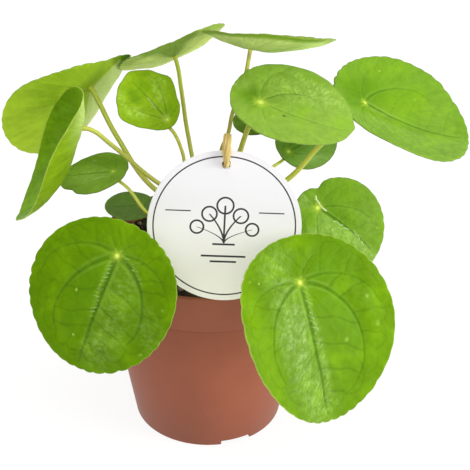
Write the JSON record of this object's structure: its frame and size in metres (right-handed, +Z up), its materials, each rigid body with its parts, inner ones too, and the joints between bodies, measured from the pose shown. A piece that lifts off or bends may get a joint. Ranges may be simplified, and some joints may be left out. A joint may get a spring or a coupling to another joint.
{
  "type": "potted chinese money plant",
  "caption": "Young Chinese money plant with round green leaves on long stalks, in a terracotta-coloured nursery pot with a tied round card tag.",
  "frame": {"origin": "centre of the pot's flat underside, on the pot's axis, at the surface it stands on", "axes": "+Z up along the pot's axis, -Y towards the side the tag faces"},
  "size_m": [0.2518, 0.2015, 0.2324],
  "materials": {
    "terracotta_plastic": "moulded plastic, slightly satin",
    "potting_soil": "dark fibrous potting mix",
    "stem_bark": "dry brown bark",
    "leaf_green": "fleshy leaf, semi-gloss upper face and paler matt underside",
    "stalk_olive": "smooth yellow-olive leaf stalk",
    "tag_card": "matt white card",
    "straw_tie": "dry twisted straw"
  },
  "bodies": {
    "root": {"pot": "terracotta_plastic", "soil": "potting_soil", "main_stem": "stem_bark", "blade_front_left": "leaf_green", "blade_front_right": "leaf_green", "blade_centre": "leaf_green", "blade_right": "leaf_green", "blade_mid_right": "leaf_green", "blade_upper_left": "leaf_green", "blade_folded_left": "leaf_green", "blade_top_left": "leaf_green", "blade_top_right": "leaf_green", "blade_young": "leaf_green", "blade_small_left": "leaf_green", "blade_low_left": "leaf_green", "blade_small_right": "leaf_green", "blade_back": "leaf_green", "stalk_front_left": "stalk_olive", "stalk_front_right": "stalk_olive", "stalk_centre": "stalk_olive", "stalk_right": "stalk_olive", "stalk_mid_right": "stalk_olive", "stalk_upper_left": "stalk_olive", "stalk_folded_left": "stalk_olive", "stalk_top_left": "stalk_olive", "stalk_top_right": "stalk_olive", "stalk_young": "stalk_olive", "stalk_small_left": "stalk_olive", "stalk_low_left": "stalk_olive", "stalk_small_right": "stalk_olive", "stalk_back": "stalk_olive", "tag": "tag_card", "tie": "straw_tie"}
  },
  "joints": []
}
